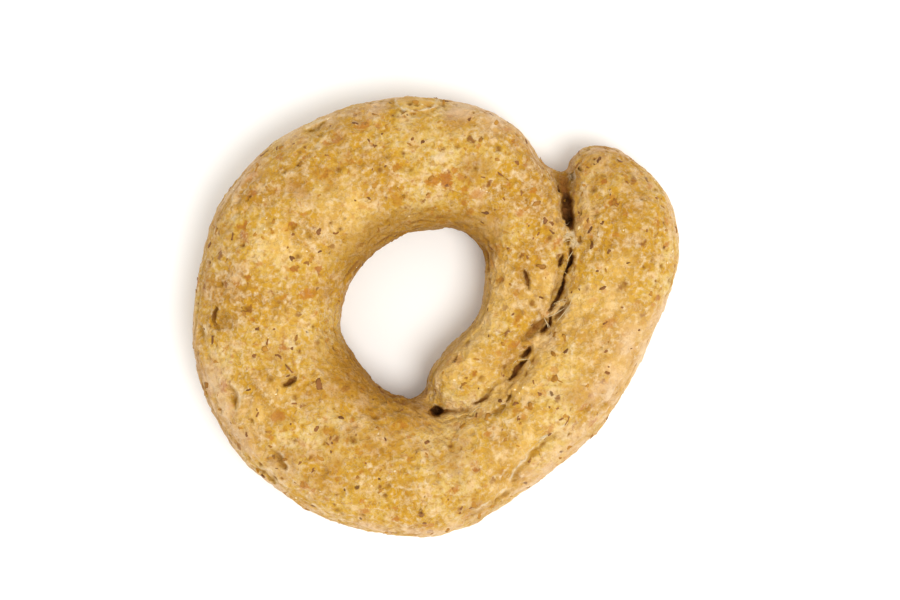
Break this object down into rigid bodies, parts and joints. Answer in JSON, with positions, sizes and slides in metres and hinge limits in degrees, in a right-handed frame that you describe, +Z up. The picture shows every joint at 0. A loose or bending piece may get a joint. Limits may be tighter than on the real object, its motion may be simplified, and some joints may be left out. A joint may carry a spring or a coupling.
{
  "type": "tarallo",
  "caption": "Baked ring of wholemeal dough, a thick rope curled round a small hole with its two ends lying side by side and pinched together.",
  "frame": {"origin": "middle of the bounding box, at the height of the flat underside that the tarallo rests on", "axes": "+Z up; +X along the ring's longer width, towards the pinched ends; +Y across it, with the outer end's tip and the notch at +Y"},
  "size_m": [0.042, 0.0382, 0.0108],
  "materials": {
    "crust": "rough, dry, golden wholemeal crust with bran flecks"
  },
  "bodies": {
    "root": {"tarallo": "crust"}
  },
  "joints": []
}
